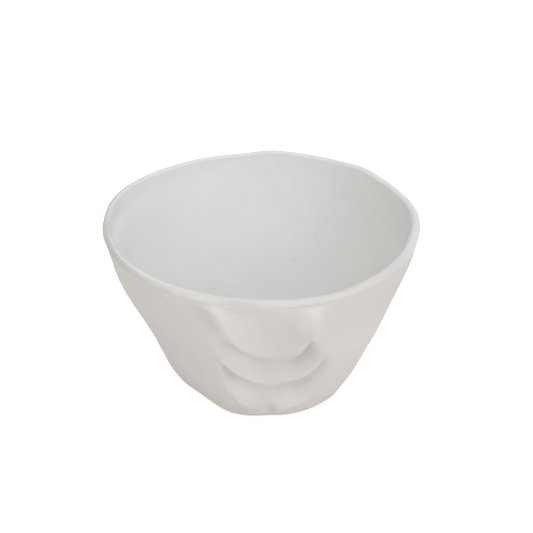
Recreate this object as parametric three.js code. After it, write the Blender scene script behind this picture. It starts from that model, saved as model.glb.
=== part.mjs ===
import * as THREE from 'three';
import { mergeVertices } from 'three/addons/utils/BufferGeometryUtils.js';

// A hand-formed bowl in millimetres: the foot stands on z = 0 and the pressed side faces -Y.
// The clay body is turned like a thrown pot, then its wall is pressed in by three overlapping
// scoops. A thin glaze lining covers the inside and the lip.
// Turns are degrees round the bowl: 0 is the middle of the pressed side and 90 is +X.

// Turned shape
const rimDiameter = 180;
const bowlHeight = 103.8;
const footFlat = 81.5; // diameter of the flat that the bowl stands on
const footSpread = 7.8; // reach of the rounded foot corner past the flat
const footLift = 7.2; // height of the rounded foot corner
const wallBelly = 3.6; // swell of the wall outside a straight cone
const wallAcross = 4.8; // wall measured level, from outside to inside
const lipSwell = 0.2; // share by which the lip is thicker in front and thinner at the back
const lipSwellStart = 0.75; // share of the height above which it starts
const lipLean = 15; // degrees that the half-round of the lip leans out with the wall
const floorThickness = 7;
const floorRound = 15; // inside corner between floor and wall

// Glaze lining
const glazeThickness = 0.4;
const glazeSeat = 0.3; // clearance between the lining and the clay

// Hand-made unevenness of the rim: lobes round the bowl, size in mm and the turn of a peak
const rimRise = [
  { lobes: 2, size: 0.25, peak: 24 },
  { lobes: 3, size: 0.15, peak: 10 },
  { lobes: 4, size: 0.85, peak: 63 },
];
const rimOval = [
  { lobes: 1, size: 1.05, peak: -98 },
  { lobes: 2, size: 0.45, peak: 60 },
  { lobes: 3, size: 0.75, peak: 5 },
];

// Finger marks along the rim, which lift or lower it
const rimTouches = [
  { turn: 98, rise: 0.9 },
  { turn: 113, rise: -0.3 },
  { turn: 134, rise: 0.8 },
  { turn: 150, rise: -0.6 },
  { turn: 174, rise: 1.2 },
  { turn: -160, rise: 0.5 },
  { turn: -130, rise: -0.6 },
  { turn: -105, rise: 0.6 },
];
const rimTouchWidth = 9; // degrees

// Palm marks on both sides of the wall, which push it out or in
const wallTouches = [
  { turn: -75, height: 16, out: 0.5, tall: 9 },
  { turn: -75, height: 42, out: -1.6, tall: 16 },
  { turn: -75, height: 79, out: 1, tall: 13 },
  { turn: 75, height: 16, out: 0.7, tall: 9 },
  { turn: 75, height: 68, out: -0.5, tall: 14 },
  { turn: 75, height: 92, out: 0.7, tall: 9 },
];
const wallTouchWidth = 35; // degrees
const wallTouchFloor = 4; // power by which the marks die out towards the middle of the floor

// Flats pared on the lower wall: the turn that each one faces and its depth at the foot
const flats = [
  { turn: -52, depth: 3.8 },
  { turn: 0, depth: 1.05 },
  { turn: 75, depth: 3.5 },
];
const flatBlend = 1; // softness of the corners between flats
const flatFade = 1.5; // power by which the flats die out towards the rim

// Mouth of the top scoop under the rim, with the turn of its middle and the reach to each side
const mouth = { middle: 2.8, left: 27.6, right: 9.5 };

// Scoops from the rim down, with the same values for the lip that each one ends in. The lip is the
// lower part of a half-ellipse, given by its lowest height, the rise of the whole ellipse and the
// share of it at which the lip ends. Groove is how far the wall steps in under the lip above,
// undercut the height over which it does, and roll the clay pushed up on the lip. On the right the
// groove is deepest at a place along the lip above, given as a share of its reach.
const scoops = [
  {
    middle: 2.8, left: 19.6, right: 12, low: 57.4, rise: 31.7, end: 0.92, rollLeft: 0.6, rollRight: 3.4,
    grooveLeft: 0, undercutLeft: 7, grooveRight: 0, undercutRight: 7, rightPlace: 0.5,
  },
  {
    middle: 1.5, left: 23.7, right: 22, low: 33.8, rise: 35.3, end: 0.96, rollLeft: 0.6, rollRight: 2.4,
    grooveLeft: 4, undercutLeft: 5.5, grooveRight: 13, undercutRight: 10.5, rightPlace: 0.6,
  },
  {
    middle: 1, left: 24.8, right: 30.4, low: 9, rise: 38, end: 0.92, rollLeft: 0.3, rollRight: 0.3,
    grooveLeft: 6, undercutLeft: 5.5, grooveRight: 13.5, undercutRight: 10, rightPlace: 0.48,
  },
];
const flare = 0.58; // power by which the sides of a scoop draw in below the lip above

// Valley down the middle of the scoops
const valleyDepth = 5;
const valleyRound = 1.5; // power of its section
const valleyCrease = 0.14; // softness of its middle
const valleyStart = 30; // height over which it deepens below the rim
const valleyEnd = 38; // height over which it rises to the foot

// Groove under a lip and roll on it: places along the lip as shares of its reach. The left half of
// the groove ends at a turn.
const grooveLeft = { place: 0.62, width: 0.5, endTurn: -25, fadeTurn: 6 };
const grooveRight = { width: 0.36, end: 1.25, fade: 0.4 };
const grooveStep = 2; // power by which the wall steps in
const grooveBlend = 0.2; // share of the reach over which left turns into right
const roll = { place: 0.66, width: 0.34, above: 5.5, below: 4, blend: 0.3 };

// Left edge of the top scoop: a trough inside it, which also dents the lip, and a ridge on it
const trough = { place: 0.58, flank: 0.32, floor: 0.5, depth: 3, start: 8, rimShare: 0.4 };
const ridge = { place: 0.98, inner: 0.12, outer: 0.22, height: 1.8, start: 9, fade: 3 };

// Knuckle of clay at the right end of the top lip, and the notch where the scoops run out at the foot
const knuckle = { turn: 16, left: 5.5, right: 2, height: 84, size: 3.4, above: 12, below: 9, start: 4 };
const notch = { turn: 1.2, width: 2.3, height: 10.5, tall: 6.5, depth: 1.8, start: 3 };

// Swell of the inside behind the scoops
const bulgeDepth = 9.6;
const bulgeWidth = 41; // half-width in degrees
const bulgeRun = 18; // height over which it starts under the rim and ends above the floor

// Facets
const turnSteps = 84;
const frontCrowding = 0.6; // draws the turn steps together on the pressed side
const scoopSteps = 8;
const apronSteps = 4;
const cornerSteps = 4;
const lipSteps = 6;
const insideSteps = 7;

const rimRadius = rimDiameter / 2;
const footEdge = footFlat / 2 + footSpread;
const lipRadius = wallAcross / 2;
const lipMiddle = rimRadius - lipRadius;
const wallTop = bowlHeight - lipRadius;
const leanAngle = THREE.MathUtils.degToRad(lipLean);
const leanRise = lipRadius * Math.sin(leanAngle);
const clayInset = glazeThickness + glazeSeat;
const clayTop = wallTop - leanRise - glazeSeat;

const { lerp, smoothstep } = THREE.MathUtils;

function cosine(degrees) {
  return Math.cos(THREE.MathUtils.degToRad(degrees));
}

// Soft mark: 1 in its middle, dying out on both sides.
function bell(distance, width) {
  return Math.exp(-((distance / width) ** 2));
}

function wallRadius(height) {
  const share = height / wallTop;
  return footEdge + (rimRadius - footEdge) * share + 4 * wallBelly * share * (1 - share);
}

function insideRadius(height) {
  return wallRadius(height) - wallAcross;
}

function waves(list, turn) {
  let sum = 0;
  for (const { lobes, size, peak } of list) {
    sum += size * cosine(lobes * (turn - peak));
  }
  return sum;
}

// Degrees from one turn to another, the short way round.
function turnBetween(from, to) {
  return THREE.MathUtils.euclideanModulo(to - from + 180, 360) - 180;
}

// Share of the radius that the flats take away at this turn and height.
function pared(turn, share) {
  let taken = 0;
  for (const flat of flats) {
    const facing = cosine(turn - flat.turn);
    if (facing <= 0) continue;
    const over = footEdge - (footEdge - flat.depth * (1 - share) ** flatFade) / facing;
    taken += (over + Math.hypot(over, flatBlend)) / 2;
  }
  return taken / footEdge;
}

function rimTouch(turn) {
  let sum = 0;
  for (const touch of rimTouches) {
    sum += touch.rise * bell(turnBetween(touch.turn, turn), rimTouchWidth);
  }
  return sum;
}

function wallTouch(turn, radius, height) {
  let sum = 0;
  for (const touch of wallTouches) {
    const across = bell(turnBetween(touch.turn, turn), wallTouchWidth);
    sum += touch.out * across * bell(height - touch.height, touch.tall);
  }
  return sum * Math.min(1, radius / footEdge) ** wallTouchFloor;
}

// A point of the turned section, moved to where the hand-formed bowl has it at this turn.
function formed(turn, radius, height, press = 0) {
  const share = height / bowlHeight;
  const swell = lipSwell * cosine(turn) * smoothstep(height, lipSwellStart * bowlHeight, wallTop);
  const outer = wallRadius(Math.min(height, wallTop));
  const swollen = outer - (outer - radius) * (1 + swell);
  const level = height + Math.max(0, height - wallTop) * swell;
  const rim = share * waves(rimOval, turn) / rimRadius;
  const lift = Math.max(0, (level - floorThickness) / (bowlHeight - floorThickness));
  return new THREE.Vector2(
    swollen * (1 + rim - pared(turn, share)) - press + wallTouch(turn, swollen, level),
    level + lift ** 2 * (waves(rimRise, turn) + rimTouch(turn)),
  );
}

// Place of a turn across a scoop: 0 in its middle, -1 and 1 at the ends of its lip.
function sideShare(scoop, turn) {
  const side = turn - scoop.middle;
  return side / (side < 0 ? scoop.left : scoop.right);
}

function lipHeight(scoop, turn) {
  const across = scoop.end * Math.min(1, Math.abs(sideShare(scoop, turn)));
  return scoop.low + scoop.rise * (1 - Math.sqrt(1 - across ** 2));
}

function rolledClay(scoop, turn, height) {
  const side = sideShare(scoop, turn);
  const size = lerp(scoop.rollLeft, scoop.rollRight, smoothstep(side, -roll.blend, roll.blend));
  const rise = height - lipHeight(scoop, turn);
  const upright = bell(rise, rise > 0 ? roll.above : roll.below);
  return size * bell(Math.abs(side) - roll.place, roll.width) * upright;
}

function knuckleClay(turn, height) {
  const aside = turn - knuckle.turn;
  const rise = height - knuckle.height;
  const across = bell(aside, aside < 0 ? knuckle.left : knuckle.right);
  const upright = bell(rise, rise > 0 ? knuckle.above : knuckle.below);
  return knuckle.size * across * upright * smoothstep(clayTop - height, 0, knuckle.start);
}

function notchDepth(turn, height) {
  const mark = bell(turn - notch.turn, notch.width) * bell(height - notch.height, notch.tall);
  return notch.depth * mark * smoothstep(height - footLift, 0, notch.start);
}

function troughDepth(side) {
  const width = -side < trough.place ? trough.floor : trough.flank;
  return trough.depth * bell(-side - trough.place, width);
}

function ridgeHeight(side) {
  const width = -side < ridge.place ? ridge.inner : ridge.outer;
  return ridge.height * bell(-side - ridge.place, width);
}

// Dent of the trough in the lip: whole at the outer edge of the lip and gone at its crest.
function lipDent(turn, radius) {
  const outward = (radius - lipMiddle) / (lipRadius * Math.cos(leanAngle));
  const share = THREE.MathUtils.clamp(outward, 0, 1);
  return trough.rimShare * troughDepth(sideShare(mouth, turn)) * share ** 2;
}

// How far a scoop presses the wall in, with drop as the share of the way from the lip above to its own.
function scoopPress(index, turn, height, drop, top) {
  const scoop = scoops[index];
  const above = index === 0 ? mouth : scoops[index - 1];
  const side = lerp(sideShare(above, turn), sideShare(scoop, turn), drop ** flare);
  const across = Math.abs(side);
  const right = smoothstep(side, -grooveBlend, grooveBlend);
  let fade = smoothstep(clayTop - height, 0, valleyStart) * smoothstep(height - footLift, 0, valleyEnd);
  if (index === scoops.length - 1) fade *= 1 - drop ** 2;
  let press = valleyDepth * fade * (1 - Math.min(1, Math.hypot(across, valleyCrease)) ** valleyRound);

  const endLeft = smoothstep(turn - grooveLeft.endTurn, 0, grooveLeft.fadeTurn);
  const endRight = smoothstep(grooveRight.end - across, 0, grooveRight.fade);
  const lobeLeft = bell(across - grooveLeft.place, grooveLeft.width) * endLeft;
  const lobeRight = bell(across - scoop.rightPlace, grooveRight.width) * endRight;
  const depth = lerp(scoop.grooveLeft, scoop.grooveRight, right) * lerp(lobeLeft, lobeRight, right);
  const undercut = lerp(scoop.undercutLeft, scoop.undercutRight, right);
  const steppedIn = 1 - Math.exp(-(((top - height) / undercut) ** grooveStep));
  press += depth * steppedIn * (1 - drop);

  if (index === 0) {
    const below = clayTop - height;
    const sunk = lerp(trough.rimShare, 1, smoothstep(below, 0, trough.start));
    press += troughDepth(side) * sunk * (1 - drop);
    press -= ridgeHeight(side) * smoothstep(below, 0, ridge.start) * (1 - drop ** ridge.fade);
  }
  return press;
}

// A point of the outside wall, by the scoop it lies in and the step down that scoop.
function scoopPoint(turn, index, step) {
  const top = index === 0 ? clayTop : lipHeight(scoops[index - 1], turn);
  const drop = smoothstep(step, 0, 1);
  const height = lerp(top, lipHeight(scoops[index], turn), drop);
  let press = scoopPress(index, turn, height, drop, top) + notchDepth(turn, height);
  press -= rolledClay(scoops[index], turn, height) + knuckleClay(turn, height);
  if (index > 0) press -= rolledClay(scoops[index - 1], turn, height);
  return formed(turn, wallRadius(height), height, press);
}

function apronPoint(turn, step) {
  const lowest = scoops[scoops.length - 1];
  const height = lerp(footLift, lipHeight(lowest, turn), step);
  const press = notchDepth(turn, height) - rolledClay(lowest, turn, height);
  return formed(turn, wallRadius(height), height, press);
}

function insideBulge(turn, height) {
  const ends = Math.min(wallTop - height, height - floorThickness);
  return bulgeDepth * smoothstep(ends, 0, bulgeRun) * Math.max(0, 1 - (turn / bulgeWidth) ** 2) ** 2;
}

// Finished section of the inside, from the outer edge of the lip to the middle of the floor.
function insideSection() {
  const points = [];
  const lip = new THREE.EllipseCurve(
    lipMiddle, wallTop, lipRadius, lipRadius, -leanAngle, Math.PI - leanAngle,
  );
  points.push(...lip.getPoints(lipSteps));
  const cornerTop = floorThickness + floorRound;
  for (let step = 1; step < insideSteps; step++) {
    const height = lerp(wallTop + leanRise, cornerTop, step / insideSteps);
    points.push(new THREE.Vector2(insideRadius(height), height));
  }
  const floorEdge = insideRadius(floorThickness);
  const corner = new THREE.QuadraticBezierCurve(
    new THREE.Vector2(insideRadius(cornerTop), cornerTop),
    new THREE.Vector2(floorEdge, floorThickness),
    new THREE.Vector2(floorEdge - floorRound, floorThickness),
  );
  points.push(...corner.getPoints(cornerSteps));
  points.push(new THREE.Vector2(0, floorThickness));
  return points;
}

// Rows that follow the inside section at a depth below its finished surface.
function insideRows(depth) {
  const section = insideSection();
  const last = section.length - 1;
  return section.map((point, index) => {
    const ahead = section[Math.min(index + 1, last)];
    const behind = section[Math.max(index - 1, 0)];
    const along = ahead.clone().sub(behind).normalize();
    let inward = new THREE.Vector2(-along.y, along.x);
    if (index === 0) inward = new THREE.Vector2(-1, 0);
    if (index === last) inward = new THREE.Vector2(0, -1);
    const radius = point.x + depth * inward.x;
    const height = point.y + depth * inward.y;
    if (index === last) return (turn) => formed(turn, radius, height);
    return (turn) => {
      const press = insideBulge(turn, point.y) + lipDent(turn, point.x);
      return formed(turn, radius, height, press);
    };
  });
}

// Rows of the outside from the middle of the foot to the ledge where the lining ends.
function outsideRows() {
  const rows = [() => new THREE.Vector2(0, 0)];
  const corner = new THREE.QuadraticBezierCurve(
    new THREE.Vector2(footFlat / 2, 0),
    new THREE.Vector2(footEdge, 0),
    new THREE.Vector2(wallRadius(footLift), footLift),
  );
  for (const point of corner.getPoints(cornerSteps)) {
    rows.push((turn) => formed(turn, point.x, point.y));
  }
  for (let step = 1; step < apronSteps; step++) {
    rows.push((turn) => apronPoint(turn, step / apronSteps));
  }
  for (let index = scoops.length - 1; index >= 0; index--) {
    for (let step = scoopSteps; step > 0; step--) {
      rows.push((turn) => scoopPoint(turn, index, step / scoopSteps));
    }
  }
  for (const inset of [0, clayInset]) {
    const edge = wallRadius(clayTop);
    rows.push((turn) => formed(turn, edge - inset, clayTop, lipDent(turn, rimRadius)));
  }
  return rows;
}

// Turns the rows into a closed solid. A row gives the radius and height of its point at each turn.
function turned(rows) {
  const geometry = new THREE.LatheGeometry(rows.map((row) => row(180)), turnSteps);
  const position = geometry.getAttribute('position');
  for (let index = 0; index < position.count; index++) {
    const step = 2 * Math.PI * Math.floor(index / rows.length) / turnSteps;
    const angle = step - frontCrowding * Math.sin(step);
    const turn = THREE.MathUtils.radToDeg(angle > Math.PI ? angle - 2 * Math.PI : angle);
    const point = rows[index % rows.length](turn);
    position.setXYZ(index, point.x * Math.sin(angle), -point.x * Math.cos(angle), point.y);
  }
  geometry.deleteAttribute('normal');
  geometry.deleteAttribute('uv');
  const closed = mergeVertices(geometry);
  closed.computeVertexNormals();
  return closed;
}

function mesh(name, rows, finish) {
  const solid = new THREE.Mesh(turned(rows), new THREE.MeshStandardMaterial(finish));
  solid.name = name;
  return solid;
}

const clayRows = [...outsideRows(), ...insideRows(clayInset)];
const liningRows = [...insideRows(glazeThickness).reverse(), ...insideRows(0)];

const bowl = new THREE.Group();
bowl.name = 'bowl';
bowl.add(mesh('clay_body', clayRows, { color: 0xd6d1cc, roughness: 0.85, metalness: 0 }));
bowl.add(mesh('glaze_lining', liningRows, { color: 0xe0dfdc, roughness: 0.5, metalness: 0 }));

export default bowl;
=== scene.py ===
import math

import bpy
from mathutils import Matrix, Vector, noise


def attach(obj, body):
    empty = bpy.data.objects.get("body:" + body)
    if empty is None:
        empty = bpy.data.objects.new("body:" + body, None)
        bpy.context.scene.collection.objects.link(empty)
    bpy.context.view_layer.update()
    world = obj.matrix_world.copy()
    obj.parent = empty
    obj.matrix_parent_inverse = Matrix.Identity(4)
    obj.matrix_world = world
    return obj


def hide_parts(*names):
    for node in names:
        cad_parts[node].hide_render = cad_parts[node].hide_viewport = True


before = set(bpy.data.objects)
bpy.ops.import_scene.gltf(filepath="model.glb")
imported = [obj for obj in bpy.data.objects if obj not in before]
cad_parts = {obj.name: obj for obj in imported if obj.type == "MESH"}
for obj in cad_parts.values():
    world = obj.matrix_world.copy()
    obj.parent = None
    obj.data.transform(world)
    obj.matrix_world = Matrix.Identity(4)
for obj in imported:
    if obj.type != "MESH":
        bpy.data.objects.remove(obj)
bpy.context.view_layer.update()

mm = 0.001


def mix(a, b, share):
    return a + (b - a) * share


def smooth(value, low, high):
    share = max(0, min(1, (value - low) / (high - low)))
    return share * share * (3 - 2 * share)


def bell(distance, width):
    return math.exp(-(distance / width) ** 2)


def around(turn, middle):
    return (turn - middle + 180) % 360 - 180


# Turned shape of the bowl, as in the solids.
# Turns are in degrees from the middle of the front, and + is to the right.
bowl = {
    "rimDiameter": 180 * mm,
    "height": 103.8 * mm,
    "footFlat": 81.5 * mm,
    "footSpread": 7.8 * mm,
    "footLift": 7.2 * mm,
    "wallBelly": 3.6 * mm,
    "wallAcross": 4.8 * mm,
    "lipSwell": 0.2,
    "lipSwellTurn": 32,
    "lipSwellStart": 0.75,  # share of the height
    "lipLean": 15,
    "floorThickness": 7 * mm,
    "floorRound": 15 * mm,
    "glazeThickness": 0.4 * mm,
    "glazeBack": 0.9,  # how far into its thickness the glaze is drawn, just short of the clay
}
rimRadius = bowl["rimDiameter"] / 2
footEdge = bowl["footFlat"] / 2 + bowl["footSpread"]
lipRadius = bowl["wallAcross"] / 2
wallTop = bowl["height"] - lipRadius
leanRise = lipRadius * math.sin(math.radians(bowl["lipLean"]))
clayTop = wallTop - leanRise  # the glaze ends here on the outside


def wallRadius(height):
    share = height / wallTop
    return footEdge + (rimRadius - footEdge) * share + 4 * bowl["wallBelly"] * share * (1 - share)


# Unevenness of the hand: a wavy rim, touches on rim and wall, flats pared at the foot
rimRise = [(2, 0.25 * mm, 24), (3, 0.15 * mm, 10), (4, 0.85 * mm, 63)]  # lobes, size, turn of a peak
rimOval = [(1, 1.05 * mm, -98), (2, 0.45 * mm, 60), (3, 0.75 * mm, 5)]
rimTouch = {
    "width": 9,
    "rises": [  # turn, size
        (98, 0.9 * mm), (113, -0.3 * mm), (134, 0.8 * mm), (150, -0.6 * mm),
        (174, 1.2 * mm), (-160, 0.5 * mm), (-130, -0.6 * mm), (-105, 0.6 * mm),
    ],
}
wallTouch = {
    "width": 35,
    "fade": 4,  # towards the middle of the floor
    "lumps": [  # turn, level, size, how tall
        (-75, 42 * mm, -1.6 * mm, 16 * mm), (-75, 79 * mm, 1.0 * mm, 13 * mm), (-75, 16 * mm, 0.5 * mm, 9 * mm),
        (75, 68 * mm, -0.5 * mm, 14 * mm), (75, 92 * mm, 0.7 * mm, 9 * mm),
        (75, 21 * mm, 0.7 * mm, 8 * mm), (75, 9 * mm, -0.5 * mm, 5 * mm),
    ],
}
flats = {
    "cuts": [(-52, 3.8 * mm), (0, 1.05 * mm), (75, 3.5 * mm)],  # turn, depth at the foot
    "blend": 1 * mm,
    "fade": 1.5,  # how soon they end up the wall
}


def waves(lobeList, turn):
    return sum(size * math.cos(math.radians(lobes * (turn - peak))) for lobes, size, peak in lobeList)


def pared(turn, share):
    taken = 0
    for facing, depth in flats["cuts"]:
        square = math.cos(math.radians(turn - facing))
        if square > 0:
            over = footEdge - (footEdge - depth * (1 - share) ** flats["fade"]) / square
            taken += (over + math.hypot(over, flats["blend"])) / 2
    return taken / footEdge


def formed(turn, radius, height, press=0):
    share = max(0, min(1, height / bowl["height"]))
    swell = bowl["lipSwell"] * math.cos(math.radians(turn - bowl["lipSwellTurn"]))
    swell *= smooth(height, bowl["lipSwellStart"] * bowl["height"], wallTop)
    outer = wallRadius(min(height, wallTop))
    radius = outer - (outer - radius) * (1 + swell)
    if height > wallTop:
        height = wallTop + (height - wallTop) * (1 + swell)
    oval = share * waves(rimOval, turn) / rimRadius
    lump = sum(size * bell(around(turn, place), wallTouch["width"]) * bell(height - level, tall)
               for place, level, size, tall in wallTouch["lumps"])
    lump *= min(1, radius / footEdge) ** wallTouch["fade"]
    lift = max(0, (height - bowl["floorThickness"]) / (bowl["height"] - bowl["floorThickness"]))
    touch = sum(size * bell(around(turn, place), rimTouch["width"]) for place, size in rimTouch["rises"])
    return (radius * (1 + oval - pared(turn, share)) - press + lump,
            height + lift ** 2 * (waves(rimRise, turn) + touch))


# Scoops pressed into the front wall, from the rim down
mouth = {"middle": 2.8, "left": 27.6, "right": 9.5}
scoops = [
    {
        "middle": 2.8, "left": 19.6, "right": 12, "low": 57.4 * mm, "rise": 31.7 * mm, "end": 0.92,
        "grooveLeft": 0, "grooveRight": 0, "rightAt": 0.5,
        "undercutLeft": 7 * mm, "undercutRight": 7 * mm,
        "rollLeft": 0.6 * mm, "rollRight": 3.4 * mm,
    },
    {
        "middle": 1.5, "left": 23.7, "right": 22, "low": 33.8 * mm, "rise": 35.3 * mm, "end": 0.96,
        "grooveLeft": 4.8 * mm, "grooveRight": 13 * mm, "rightAt": 0.6,
        "undercutLeft": 5.5 * mm, "undercutRight": 10.5 * mm,
        "rollLeft": 0.6 * mm, "rollRight": 2.4 * mm,
    },
    {
        "middle": 1, "left": 24.8, "right": 30.4, "low": 9 * mm, "rise": 38 * mm, "end": 0.92,
        "grooveLeft": 7.2 * mm, "grooveRight": 13.5 * mm, "rightAt": 0.48,
        "undercutLeft": 5.5 * mm, "undercutRight": 10 * mm,
        "rollLeft": 0.3 * mm, "rollRight": 0.3 * mm,
    },
]
restLevels = [clayTop] + [scoop["low"] + scoop["rise"] for scoop in scoops] + [bowl["footLift"]]


def sideShare(scoop, turn):
    side = turn - scoop["middle"]
    return side / (scoop["left"] if side < 0 else scoop["right"])


def lipHeight(scoop, turn):
    across = scoop["end"] * min(1, abs(sideShare(scoop, turn)))
    return scoop["low"] + scoop["rise"] * (1 - math.sqrt(1 - across ** 2))


# Rolls of clay along the lips
roll = {"place": 0.66, "width": 0.34, "above": 5.5 * mm, "below": 4 * mm, "change": 0.3}


def rolledClay(scoop, turn, height):
    side = sideShare(scoop, turn)
    size = mix(scoop["rollLeft"], scoop["rollRight"], smooth(side, -roll["change"], roll["change"]))
    rise = height - lipHeight(scoop, turn)
    wide = bell(abs(side) - roll["place"], roll["width"])
    return size * wide * bell(rise, roll["above" if rise > 0 else "below"])


knuckle = {
    "turn": 16, "left": 5.5, "right": 2, "height": 84 * mm,
    "size": 3.4 * mm, "above": 12 * mm, "below": 9 * mm, "start": 4 * mm,
}


def knuckleClay(turn, height):
    aside = turn - knuckle["turn"]
    rise = height - knuckle["height"]
    wide = bell(aside, knuckle["left" if aside < 0 else "right"])
    tall = bell(rise, knuckle["above" if rise > 0 else "below"])
    return knuckle["size"] * wide * tall * smooth(clayTop - height, 0, knuckle["start"])


# Mark at the foot
notch = {"turn": 1, "height": 9 * mm, "depth": 2 * mm, "width": 3.2, "tall": 6 * mm, "start": 3 * mm}


def notchPress(turn, height):
    mark = bell(turn - notch["turn"], notch["width"]) * bell(height - notch["height"], notch["tall"])
    return notch["depth"] * mark * smooth(height, 0, notch["start"])


# Trough and ridge on the left of the first scoop
trough = {"place": 0.58, "flank": 0.28, "floor": 0.5, "depth": 3 * mm, "start": 8 * mm, "rim": 0.4}
ridge = {"place": 0.98, "inner": 0.12, "outer": 0.22, "height": 1.8 * mm, "start": 6 * mm, "end": 3}


def troughPress(side):
    width = trough["floor" if -side < trough["place"] else "flank"]
    return trough["depth"] * bell(-side - trough["place"], width)


def ridgeClay(side, below, drop):
    crest = bell(-side - ridge["place"], ridge["inner" if -side < ridge["place"] else "outer"])
    return ridge["height"] * crest * smooth(below, 0, ridge["start"]) * (1 - drop ** ridge["end"])


def rimPress(turn, radius):
    lipReach = lipRadius * math.cos(math.radians(bowl["lipLean"]))
    outward = max(0, (radius - rimRadius + lipRadius) / lipReach)
    return trough["rim"] * troughPress(sideShare(mouth, turn)) * min(1, outward) ** 2


# Valley down the middle of the scoops, and grooves under their lips
valley = {
    "depth": 6 * mm, "round": 1.5, "start": 30 * mm, "end": 38 * mm,
    "crease": 0.2,  # softness of the middle of a scoop
    "flare": 0.58,  # how soon the sides of a scoop draw in below the lip above
}
groove = {
    "left": 0.62, "leftWidth": 0.5, "leftEnd": -25, "leftFade": 6,
    "rightWidth": 0.36, "rightEnd": 1.25, "rightFade": 0.4, "step": 2, "change": 0.2,
}


def valleyPress(band, across, place, drop):
    soft = min(1, math.hypot(across, valley["crease"]))
    fade = smooth(clayTop - place, 0, valley["start"]) * smooth(place - bowl["footLift"], 0, valley["end"])
    if band == len(scoops) - 1:
        fade *= 1 - drop ** 2
    return valley["depth"] * fade * (1 - soft ** valley["round"])


def groovePress(scoop, turn, side, below, drop):
    across = abs(side)
    right = smooth(side, -groove["change"], groove["change"])
    lobeLeft = bell(across - groove["left"], groove["leftWidth"])
    lobeLeft *= smooth(turn - groove["leftEnd"], 0, groove["leftFade"])
    lobeRight = bell(across - scoop["rightAt"], groove["rightWidth"])
    lobeRight *= smooth(groove["rightEnd"] - across, 0, groove["rightFade"])
    undercut = mix(scoop["undercutLeft"], scoop["undercutRight"], right)
    steppedIn = 1 - math.exp(-(below / undercut) ** groove["step"])
    depth = mix(scoop["grooveLeft"], scoop["grooveRight"], right)
    return depth * mix(lobeLeft, lobeRight, right) * steppedIn * (1 - drop)


def scoopPress(band, turn, place, drop, top):
    scoop = scoops[band]
    upper = scoops[band - 1] if band else mouth
    side = mix(sideShare(upper, turn), sideShare(scoop, turn), drop ** valley["flare"])
    press = groovePress(scoop, turn, side, top - place, drop)
    if abs(side) < 1:
        press += valleyPress(band, abs(side), place, drop)
    if band == 0:
        below = clayTop - place
        press += troughPress(side) * mix(trough["rim"], 1, smooth(below, 0, trough["start"])) * (1 - drop)
        press -= ridgeClay(side, below, drop)
    return press


def pressedWall(turn, height):
    levels = [clayTop] + [lipHeight(scoop, turn) for scoop in scoops] + [bowl["footLift"]]
    band = 0
    while height < restLevels[band + 1]:
        band += 1
    drop = (restLevels[band] - height) / (restLevels[band] - restLevels[band + 1])
    place = mix(levels[band], levels[band + 1], drop)
    press = notchPress(turn, place) - knuckleClay(turn, place)
    if band < len(scoops):
        press += scoopPress(band, turn, place, drop, levels[band])
        press -= rolledClay(scoops[band], turn, place)
    if band > 0:
        press -= rolledClay(scoops[band - 1], turn, place)
    return formed(turn, wallRadius(place), place, press)


# The inside swells behind the scoops
bulge = {"depth": 9.6 * mm, "width": 41, "run": 18 * mm}


def insideBulge(turn, height):
    ends = min(wallTop - height, height - bowl["floorThickness"])
    wide = max(0, 1 - (turn / bulge["width"]) ** 2) ** 2
    return bulge["depth"] * smooth(ends, 0, bulge["run"]) * wide


def pressedInside(turn, radius, height):
    near = min(1, radius / footEdge)
    return formed(turn, radius, height, insideBulge(turn, height) * near + rimPress(turn, radius))


def bodyPlace(turn, radius, height):
    if height <= clayTop and radius > wallRadius(height) - lipRadius:
        if height <= bowl["footLift"]:
            return formed(turn, radius, height, notchPress(turn, height))
        return pressedWall(turn, height)
    return pressedInside(turn, radius, height)


# Sections of the bowl, drawn point by point as radius and height
rows = {
    "around": 256,
    "underside": (0, 0.5, 0.9),  # shares of the flat of the foot
    "foot": 10,
    "bands": [44, 40, 40, 18],  # of the outside, from the rim down
    "crowding": 1.7,  # draws the rows of a band up under the lip above
    "lip": 18,
    "inside": 90,
    "corner": 14,
    "floor": 7,
}


def arc(middle, radius, start, end, count):
    points = []
    for step in range(count + 1):
        angle = math.radians(mix(start, end, step / count))
        points.append((middle[0] + radius * math.cos(angle), middle[1] + radius * math.sin(angle)))
    return points


def bend(first, corner, last, count):
    points = []
    for step in range(count + 1):
        share = step / count
        near = [mix(a, b, share) for a, b in zip(first, corner)]
        far = [mix(a, b, share) for a, b in zip(corner, last)]
        points.append(tuple(mix(a, b, share) for a, b in zip(near, far)))
    return points


def insideSection(depth):
    floor = bowl["floorThickness"] - depth
    cornerTop = bowl["floorThickness"] + bowl["floorRound"]
    across = bowl["wallAcross"] - depth
    lean = bowl["lipLean"]
    points = arc((rimRadius - lipRadius, wallTop), lipRadius - depth, -lean, 180 - lean, rows["lip"])
    for row in range(1, rows["inside"]):
        height = mix(wallTop + leanRise, cornerTop, row / rows["inside"])
        points.append((wallRadius(height) - across, height))
    edge = wallRadius(floor) - across
    inner = edge - bowl["floorRound"]
    points += bend((wallRadius(cornerTop) - across, cornerTop), (edge, floor), (inner, floor), rows["corner"])
    for row in range(1, rows["floor"]):
        points.append((inner * (1 - row / rows["floor"]), floor))
    points.append((0, floor))
    return points


def outsideSection():
    flat = bowl["footFlat"] / 2
    lift = bowl["footLift"]
    points = [(flat * share, 0) for share in rows["underside"]]
    points += bend((flat, 0), (footEdge, 0), (wallRadius(lift), lift), rows["foot"])
    for band, count in reversed(list(enumerate(rows["bands"]))):
        for row in range(count):
            drop = 1 - (row + 1) / count
            if band < len(scoops):
                drop = drop ** rows["crowding"]
            height = mix(restLevels[band], restLevels[band + 1], drop)
            points.append((wallRadius(height), height))
    return points


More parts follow.
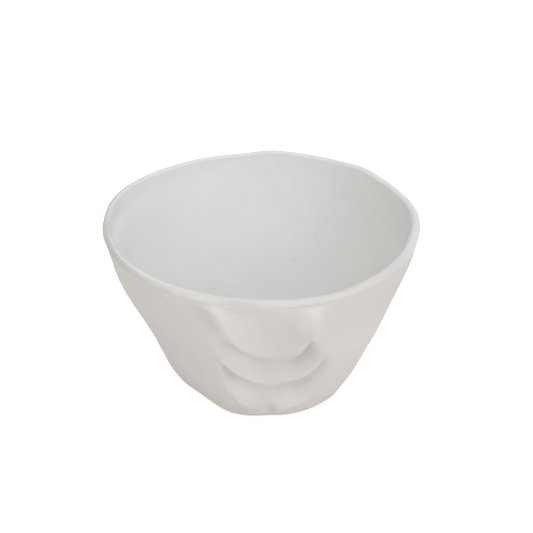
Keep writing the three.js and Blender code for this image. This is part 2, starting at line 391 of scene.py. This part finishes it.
# Turning: a section is spun round the middle, then the piece is pressed by hand
def turnOnWheel(name, section):
    bpy.ops.object.select_all(action="DESELECT")
    bpy.ops.mesh.primitive_plane_add(size=1 * mm)
    piece = bpy.context.object
    piece.name = name
    piece.data.name = name
    bpy.ops.object.mode_set(mode="EDIT")
    bpy.ops.mesh.select_all(action="SELECT")
    bpy.ops.mesh.merge(type="CENTER")
    bpy.ops.transform.translate(value=(0, -section[0][0], section[0][1]))
    for here, there in zip(section, section[1:]):
        move = (0, here[0] - there[0], there[1] - here[1])
        bpy.ops.mesh.extrude_vertices_move(TRANSFORM_OT_translate={"value": move})
    bpy.ops.mesh.select_all(action="SELECT")
    bpy.ops.mesh.spin(steps=rows["around"], angle=2 * math.pi, center=(0, 0, 0), axis=(0, 0, 1))
    bpy.ops.mesh.select_all(action="SELECT")
    bpy.ops.mesh.remove_doubles(threshold=0.001 * mm)  # closes the seam and the poles
    bpy.ops.mesh.normals_make_consistent(inside=False)
    bpy.ops.object.mode_set(mode="OBJECT")
    print("turned", name, len(piece.data.vertices))
    return piece


hand = {
    "frontCrowding": 0.66,  # more of the mesh in front, where the scoops are
    "withinSolids": 0.9985,  # keeps the smooth skin inside the box of the faceted solids
    "deep": 0.22 * mm, "wide": 15 * mm,
    "fineDeep": 0.08 * mm, "fineWide": 7 * mm,
    "rimDeep": 0.3 * mm, "rimFrom": 85 * mm, "rimTo": 100 * mm,
    "rest": 0.5,  # taken where the noise is nought
}


def unevenness(place):
    broad = hand["rest"] + noise.noise(place / hand["wide"])
    fine = hand["rest"] + noise.noise(place / hand["fineWide"])
    fineDeep = mix(hand["fineDeep"], hand["rimDeep"], smooth(place.z, hand["rimFrom"], hand["rimTo"]))
    return hand["deep"] * broad + fineDeep * fine


def pressByHand(piece, where):
    for vertex in piece.data.vertices:
        x, y, z = vertex.co
        radius = math.hypot(x, y)
        step = math.atan2(x, -y)
        angle = step - hand["frontCrowding"] * math.sin(step)
        broadest = wallRadius(min(z, wallTop))
        mark = Vector((broadest * math.sin(angle), broadest * math.cos(angle), z))
        worn = max(0, unevenness(mark)) * min(1, radius / footEdge) ** 2
        radius, height = where(math.degrees(angle), radius, z)
        radius = radius * hand["withinSolids"] - worn
        height *= hand["withinSolids"]
        vertex.co = (radius * math.sin(angle), -radius * math.cos(angle), height)
    piece.data.update()
    print("pressed", piece.name)


def pick(piece):
    bpy.ops.object.select_all(action="DESELECT")
    piece.select_set(True)
    bpy.context.view_layer.objects.active = piece


# The left ends of the two upper lips are rubbed soft
softLips = {"from": -27, "to": 2, "lips": 2, "near": 4 * mm, "wall": 9 * mm, "factor": 0.5, "repeat": 30}


def softenLips(piece):
    pick(piece)
    bpy.ops.object.mode_set(mode="EDIT")
    bpy.ops.mesh.select_mode(type="VERT")
    bpy.ops.mesh.select_all(action="DESELECT")
    bpy.ops.object.mode_set(mode="OBJECT")
    lips = scoops[:softLips["lips"]]
    for vertex in piece.data.vertices:
        x, y, z = vertex.co
        turn = math.degrees(math.atan2(x, -y))
        nearLip = min(abs(z - lipHeight(scoop, turn)) for scoop in lips) < softLips["near"]
        outside = math.hypot(x, y) > wallRadius(z) - softLips["wall"] and vertex.normal.y < 0
        vertex.select = softLips["from"] < turn < softLips["to"] and nearLip and outside
    bpy.ops.object.mode_set(mode="EDIT")
    bpy.ops.mesh.vertices_smooth(factor=softLips["factor"], repeat=softLips["repeat"])
    bpy.ops.object.mode_set(mode="OBJECT")
    print("softened the lips of", piece.name)


body = turnOnWheel("clay_shell", outsideSection() + insideSection(bowl["glazeThickness"]))
pressByHand(body, bodyPlace)
softenLips(body)

liningBack = insideSection(bowl["glazeThickness"] * bowl["glazeBack"])
lining = turnOnWheel("glaze_lining_shell", liningBack[::-1] + insideSection(0))
pressByHand(lining, pressedInside)

sharpFrom = 50  # edges from this angle on stay sharp
for piece in (body, lining):
    pick(piece)
    bpy.ops.object.shade_smooth_by_angle(angle=math.radians(sharpFrom))


# Materials: shader maths as plain expressions
class Shade:
    def __init__(self, tree, socket=None):
        self.tree = tree
        self.socket = socket

    def node(self, kind, settings=None, values=None, output=0):
        made = self.tree.nodes.new(kind)
        for name, value in (settings or {}).items():
            setattr(made, name, value)
        for name, value in (values or {}).items():
            if isinstance(value, Shade):
                self.tree.links.new(value.socket, made.inputs[name])
            else:
                made.inputs[name].default_value = value
        return Shade(self.tree, made.outputs[output])

    def maths(self, operation, first, second):
        return self.node("ShaderNodeMath", {"operation": operation}, {0: first, 1: second})

    def ramp(self, value, low, high, start=0.0, end=1.0):
        return self.node("ShaderNodeMapRange", {"interpolation_type": "SMOOTHSTEP"},
                         {0: value, 1: low, 2: high, 3: start, 4: end})

    def blend(self, share, first, second):
        return self.node("ShaderNodeMix", {"data_type": "RGBA"}, {0: share, 6: first, 7: second}, 2)

    def __add__(self, other):
        return self.maths("ADD", self, other)

    __radd__ = __add__

    def __mul__(self, other):
        return self.maths("MULTIPLY", self, other)

    __rmul__ = __mul__

    def __sub__(self, other):
        return self.maths("SUBTRACT", self, other)

    def __rsub__(self, other):
        return self.maths("SUBTRACT", other, self)


def newFinish(name):
    material = bpy.data.materials.new(name)
    material.use_nodes = True
    shader = material.node_tree.nodes["Principled BSDF"]
    return material, shader, Shade(material.node_tree)


def along(shade, place, axis):
    return shade.node("ShaderNodeSeparateXYZ", None, {0: place}, axis)


def clouds(shade, place, look):
    return shade.node("ShaderNodeTexNoise", None,
                      {"Vector": place, "Scale": look["scale"], "Detail": look["detail"]})


def spot(shade, place, mark):
    middle = tuple(value * mm for value in mark["place"])
    reach = tuple(1 / (value * mm) for value in mark["size"])
    aside = shade.node("ShaderNodeVectorMath", {"operation": "SUBTRACT"}, {0: place, 1: middle})
    aside = shade.node("ShaderNodeVectorMath", {"operation": "MULTIPLY"}, {0: aside, 1: reach})
    far = shade.node("ShaderNodeVectorMath", {"operation": "LENGTH"}, {0: aside}, "Value")
    return shade.ramp(far, 1.0, 0.0)


def relief(shade, height, look, over=None):
    values = {"Height": height, "Strength": look["strength"], "Distance": look["depth"]}
    if over is not None:
        values["Normal"] = over
    return shade.node("ShaderNodeBump", None, values)


def layOn(shader, colour, bump, look):
    colour.tree.links.new(colour.socket, shader.inputs["Base Color"])
    colour.tree.links.new(bump.socket, shader.inputs["Normal"])
    shader.inputs["Roughness"].default_value = look["roughness"]
    shader.inputs["Specular IOR Level"].default_value = look["specular"]


# A pair of lengths is where a tone starts and where it is full. Places and sizes of spots are in mm.
# Colours of painted light, for flanks facing the lamps, and of painted shade, for faces turned away
paintedLight = (0.85, 0.835, 0.82, 1)
paintedShade = (0.62, 0.6, 0.584, 1)
clayLook = {
    "cloud": {"scale": 45.0, "detail": 4.0, "low": (0.722, 0.7, 0.688, 1), "high": (0.772, 0.75, 0.738, 1)},
    "wash": {
        "left": (-36 * mm, -25 * mm), "right": (24 * mm, 0.0), "up": (clayTop - 36 * mm, clayTop),
        "share": 0.7, "colour": (0.8, 0.79, 0.775, 1),
    },
    "shaded": {"across": (15 * mm, 60 * mm), "up": (55 * mm, 92 * mm), "colour": (0.7, 0.688, 0.676, 1)},
    # Spots of painted light and painted shade on the scoops, the knuckle and the wall left of the first scoop
    "marks": [
        {"place": (17, -84, 84), "size": (5, 9, 14), "share": 0.5, "colour": paintedLight},
        {"place": (22, -84, 95), "size": (6, 9, 9), "share": 0.45, "colour": paintedLight},
        {"place": (-13, -83, 83), "size": (11, 14, 18), "share": 0.25, "colour": paintedLight},
        {"place": (-15, -72, 56), "size": (13, 12, 9), "share": 0.5, "colour": paintedLight},
        {"place": (-12, -62, 31), "size": (14, 12, 12), "share": 0.6, "colour": paintedLight},
        {"place": (10, -61, 26), "size": (14, 12, 15), "share": 0.4, "colour": paintedShade},
        {"place": (-36, -80, 95), "size": (8, 10, 12), "share": 0.38, "colour": paintedShade},
        {"place": (-31, -80, 86), "size": (8, 10, 14), "share": 0.3, "colour": paintedShade},
    ],
    # Painted shade: the clay is darker where it is hemmed in, found by ambient occlusion
    "recessShade": {"reach": 12 * mm, "samples": 16, "share": 0.6, "colour": (0.5, 0.475, 0.45, 1)},
    "dripAndHighlight": {  # run of glaze under the lip; its paler colour is partly the glaze and partly a painted highlight
        "place": (-55.3, -68.3, 97.8), "size": (1.7, 1.7, 3.2), "share": 0.9, "colour": (0.84, 0.832, 0.82, 1),
    },
    "lumps": {
        "scale": 150.0, "detail": 2.0, "up": (84 * mm, 96 * mm), "share": 0.8,
        "strength": 0.5, "depth": 0.6 * mm,
    },
    "grain": {"scale": 900.0, "detail": 3.0, "strength": 0.15, "depth": 0.2 * mm},
    "roughness": 0.8,
    "specular": 0.15,
}


def clayFinish():
    material, shader, shade = newFinish("bare_white_clay")
    place = shade.node("ShaderNodeTexCoord", output="Object")
    across = along(shade, place, "X")
    height = along(shade, place, "Z")
    cloud, wash, shaded = clayLook["cloud"], clayLook["wash"], clayLook["shaded"]
    colour = shade.blend(clouds(shade, place, cloud), cloud["low"], cloud["high"])
    washed = shade.ramp(across, *wash["left"]) * shade.ramp(across, *wash["right"])
    washed = washed * shade.ramp(height, *wash["up"]) * wash["share"]
    colour = shade.blend(washed, colour, wash["colour"])
    dim = shade.ramp(across, *shaded["across"]) * shade.ramp(height, *shaded["up"])
    colour = shade.blend(dim, colour, shaded["colour"])
    # painted light and painted shade, spot by spot
    for mark in clayLook["marks"]:
        colour = shade.blend(spot(shade, place, mark) * mark["share"], colour, mark["colour"])
    recessShade, dripAndHighlight, lumps = clayLook["recessShade"], clayLook["dripAndHighlight"], clayLook["lumps"]
    # painted shade in the hollows, from ambient occlusion
    openness = shade.node("ShaderNodeAmbientOcclusion", {"samples": recessShade["samples"], "only_local": True},
                          {"Distance": recessShade["reach"]}, "AO")
    colour = shade.blend((1 - openness) * recessShade["share"], colour, recessShade["colour"])
    # raised run of glaze, its paler colour partly a painted highlight
    run = spot(shade, place, dripAndHighlight)
    colour = shade.blend(run * dripAndHighlight["share"], colour, dripAndHighlight["colour"])
    lumpy = clouds(shade, place, lumps) * shade.ramp(height, *lumps["up"]) * lumps["share"]
    bump = relief(shade, lumpy + run, lumps)
    bump = relief(shade, clouds(shade, place, clayLook["grain"]), clayLook["grain"], bump)
    layOn(shader, colour, bump, clayLook)
    print("mixed", material.name)
    return material


glazeLook = {
    "cloud": {"scale": 30.0, "detail": 3.0, "low": (0.738, 0.736, 0.728, 1), "high": (0.776, 0.774, 0.766, 1)},
    "paintedLightLeft": {  # painted light: paler inside the left wall, which faces the light, short of the lip
        "across": (-30 * mm, -85 * mm), "up": (78 * mm, 99 * mm),
        "lip": (rimRadius - 4.6 * mm, rimRadius - 6.2 * mm),
        "back": (10 * mm, 55 * mm), "backShare": 0.7, "colour": (0.86, 0.858, 0.85, 1),
    },
    # Painted shade with a warm cast of bounced light: darker and warmer towards the right of the inside
    "paintedShadeRight": {"across": (10 * mm, 75 * mm), "colour": (0.735, 0.731, 0.713, 1)},
    "left": (-58 * mm, -88 * mm),  # parts of the lip
    "right": (70 * mm, 86 * mm),
    "leftFront": (-12 * mm, -45 * mm),
    "rightFront": (-15 * mm, 18 * mm),
    "back": (-20 * mm, 40 * mm),
    # Lip colours by part: partly the glaze thinning over the rim, partly painted light and shade, darker on the
    # left and paler on the right and back
    "crest": {
        "reach": (rimRadius - 4.3 * mm, rimRadius - 3 * mm),
        "front": (0.662, 0.658, 0.647, 1), "leftFront": (0.685, 0.68, 0.668, 1),
        "left": (0.57, 0.556, 0.537, 1), "right": (0.74, 0.738, 0.728, 1), "back": (0.76, 0.758, 0.75, 1),
    },
    "edge": {
        "reach": (rimRadius - 2.2 * mm, rimRadius - 0.6 * mm),
        "front": (0.785, 0.78, 0.768, 1), "rightFront": (0.652, 0.637, 0.622, 1),
        "left": (0.575, 0.56, 0.538, 1), "right": (0.765, 0.762, 0.752, 1),
    },
    "specks": [
        {"place": (34.5, 62, 58.3), "size": (1.8, 3, 1.4)},
        {"place": (22.2, 60.5, 42.4), "size": (2.4, 3, 1.3)},
        {"place": (33.6, 72, 82.2), "size": (1.6, 3, 1.2)},
        {"place": (46.4, 61.5, 75), "size": (1.5, 3, 1.5)},
    ],
    "speckShare": 0.25,
    "speckColour": (0.5, 0.49, 0.47, 1),
    "swells": {"scale": 75.0, "detail": 3.0, "strength": 0.3, "depth": 1.2 * mm},
    "streaks": {"stretch": (40, 40, 260), "scale": 1.0, "detail": 4.0, "strength": 0.2, "depth": 0.9 * mm},
    "roughness": 0.5,
    "specular": 0.3,
}


def glazeFinish():
    material, shader, shade = newFinish("satin_white_glaze")
    place = shade.node("ShaderNodeTexCoord", output="Object")
    x, y, z = (along(shade, place, axis) for axis in "XYZ")
    reach = shade.maths("POWER", x * x + y * y, 0.5) + x * (rimOval[0][1] / rimRadius)  # evened round the rim
    left = shade.ramp(x, *glazeLook["left"])
    right = shade.ramp(x, *glazeLook["right"])
    leftFront = shade.ramp(x, *glazeLook["leftFront"])
    rightFront = shade.ramp(x, *glazeLook["rightFront"])
    back = shade.ramp(y, *glazeLook["back"])
    cloud, paintedLightLeft, paintedShadeRight = glazeLook["cloud"], glazeLook["paintedLightLeft"], glazeLook["paintedShadeRight"]
    colour = shade.blend(clouds(shade, place, cloud), cloud["low"], cloud["high"])
    # painted light on the inside of the left wall
    paintedLightShare = shade.ramp(x, *paintedLightLeft["across"]) * shade.ramp(z, *paintedLightLeft["up"]) * shade.ramp(reach, *paintedLightLeft["lip"])
    paintedLightShare *= 1 - paintedLightLeft["backShare"] * shade.ramp(y, *paintedLightLeft["back"])
    colour = shade.blend(paintedLightShare, colour, paintedLightLeft["colour"])
    # painted shade with warm bounced light on the right
    colour = shade.blend(shade.ramp(x, *paintedShadeRight["across"]), colour, paintedShadeRight["colour"])
    # lip colours: glaze thinning over the rim, with painted light and shade by side
    crest, edge = glazeLook["crest"], glazeLook["edge"]
    crestLitAndShaded = shade.blend(leftFront, crest["front"], crest["leftFront"])
    crestLitAndShaded = shade.blend(left, crestLitAndShaded, crest["left"])
    crestLitAndShaded = shade.blend(right, crestLitAndShaded, crest["right"])
    crestLitAndShaded = shade.blend(back, crestLitAndShaded, crest["back"])
    edgeLitAndShaded = shade.blend(left, edge["front"], edge["left"])
    edgeLitAndShaded = shade.blend(rightFront, edgeLitAndShaded, edge["rightFront"])
    edgeLitAndShaded = shade.blend(right, edgeLitAndShaded, edge["right"])
    colour = shade.blend(shade.ramp(reach, *crest["reach"]), colour, crestLitAndShaded)
    colour = shade.blend(shade.ramp(reach, *edge["reach"]), colour, edgeLitAndShaded)
    for speck in glazeLook["specks"]:
        share = spot(shade, place, speck) * glazeLook["speckShare"]
        colour = shade.blend(share, colour, glazeLook["speckColour"])
    swells, streaks = glazeLook["swells"], glazeLook["streaks"]
    bump = relief(shade, clouds(shade, place, swells), swells)
    stretched = shade.node("ShaderNodeMapping", None, {"Vector": place, "Scale": streaks["stretch"]})
    bump = relief(shade, clouds(shade, stretched, streaks), streaks, bump)
    layOn(shader, colour, bump, glazeLook)
    print("mixed", material.name)
    return material


body.data.materials.append(clayFinish())
lining.data.materials.append(glazeFinish())

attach(body, "root")
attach(lining, "root")
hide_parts("clay_body")
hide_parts("glaze_lining")
print("pieces ride on the bowl")

# Stage: pale floor, soft light, camera at the photograph's angle
floorLook = {"size": 6.0, "colour": (0.82, 0.80, 0.77, 1), "cameraWhite": 0.66}


def seenRay(shade):
    camera = shade.node("ShaderNodeLightPath", output="Is Camera Ray")
    glossy = shade.node("ShaderNodeLightPath", output="Is Glossy Ray")
    through = shade.node("ShaderNodeLightPath", output="Is Transmission Ray")
    return shade.maths("MINIMUM", camera + glossy + through, 1.0)


def layFloor():
    bpy.ops.object.select_all(action="DESELECT")
    bpy.ops.mesh.primitive_plane_add(size=floorLook["size"])
    floor = bpy.context.object
    floor.name = "table_top"
    material = bpy.data.materials.new("pale_table")
    material.use_nodes = True
    tree = material.node_tree
    tree.nodes.clear()
    shade = Shade(tree)
    matt = shade.node("ShaderNodeBsdfDiffuse", None, {"Color": floorLook["colour"]})
    glow = shade.node("ShaderNodeEmission", None, {"Strength": seenRay(shade) * floorLook["cameraWhite"]})
    both = shade.node("ShaderNodeAddShader", None, {0: matt, 1: glow})
    out = tree.nodes.new("ShaderNodeOutputMaterial")
    tree.links.new(both.socket, out.inputs["Surface"])
    floor.data.materials.append(material)
    print("floor laid")


light = {
    "target": (0, 0, 50 * mm),
    "away": 1.6,
    "size": 1.4,
    "horizon": 0.4,
    "zenith": 0.79,
    "rise": (0.3, 0.9),  # where the room's light goes from one to the other
    "boxes": [("soft_right", 45, 40, 7.5), ("soft_left", -45, 40, 5.6), ("soft_low", 45, 12, 2.6)],
}


def fromMiddle(turn, elevation):
    turn = math.radians(turn)
    elevation = math.radians(elevation)
    level = math.cos(elevation)
    return Vector((math.sin(turn) * level, -math.cos(turn) * level, math.sin(elevation)))


def setWorld():
    world = bpy.data.worlds.new("soft_room")
    bpy.context.scene.world = world
    world.use_nodes = True
    tree = world.node_tree
    tree.nodes.clear()
    shade = Shade(tree)
    seen = seenRay(shade)
    direction = shade.node("ShaderNodeTexCoord", output="Generated")
    room = shade.ramp(along(shade, direction, "Z"), *light["rise"], light["horizon"], light["zenith"])
    strength = seen + (1 - seen) * room
    back = shade.node("ShaderNodeBackground", None, {"Color": (1, 1, 1, 1), "Strength": strength})
    out = tree.nodes.new("ShaderNodeOutputWorld")
    tree.links.new(back.socket, out.inputs["Surface"])


def hangSoftBox(name, turn, elevation, power):
    away = fromMiddle(turn, elevation)
    bpy.ops.object.light_add(type="AREA", location=Vector(light["target"]) + away * light["away"])
    lamp = bpy.context.object
    lamp.name = name
    lamp.data.shape = "DISK"
    lamp.data.size = light["size"]
    lamp.data.energy = power
    lamp.rotation_euler = (-away).to_track_quat("-Z", "Y").to_euler()


layFloor()
setWorld()
for box in light["boxes"]:
    hangSoftBox(*box)
print("light hung")

view = {
    "distance": 900 * mm,
    "elevation": 31.97,
    "turn": -2.8,
    "targetHeight": 50 * mm,
    "targetPixel": (264.1, 301.1),
    "focalPixels": 1545,
    "imagePixels": 533,
    "sensor": 36,
}


def setCamera():
    away = fromMiddle(view["turn"], view["elevation"])
    turn = math.radians(view["turn"])
    right = Vector((math.cos(turn), math.sin(turn), 0))
    up = away.cross(right)
    target = Vector((0, 0, view["targetHeight"]))
    perPixel = view["distance"] / view["focalPixels"]
    middle = view["imagePixels"] / 2
    aside = (middle - view["targetPixel"][0]) * perPixel
    above = (view["targetPixel"][1] - middle) * perPixel
    bpy.ops.object.camera_add()
    camera = bpy.context.object
    camera.location = target + away * view["distance"]
    aim = target + right * aside + up * above
    camera.rotation_euler = (aim - camera.location).to_track_quat("-Z", "Y").to_euler()
    camera.data.sensor_width = view["sensor"]
    camera.data.lens = view["sensor"] * view["focalPixels"] / view["imagePixels"]
    bpy.context.scene.camera = camera
    print("camera set")


setCamera()
bpy.context.scene.view_settings.view_transform = "Standard"
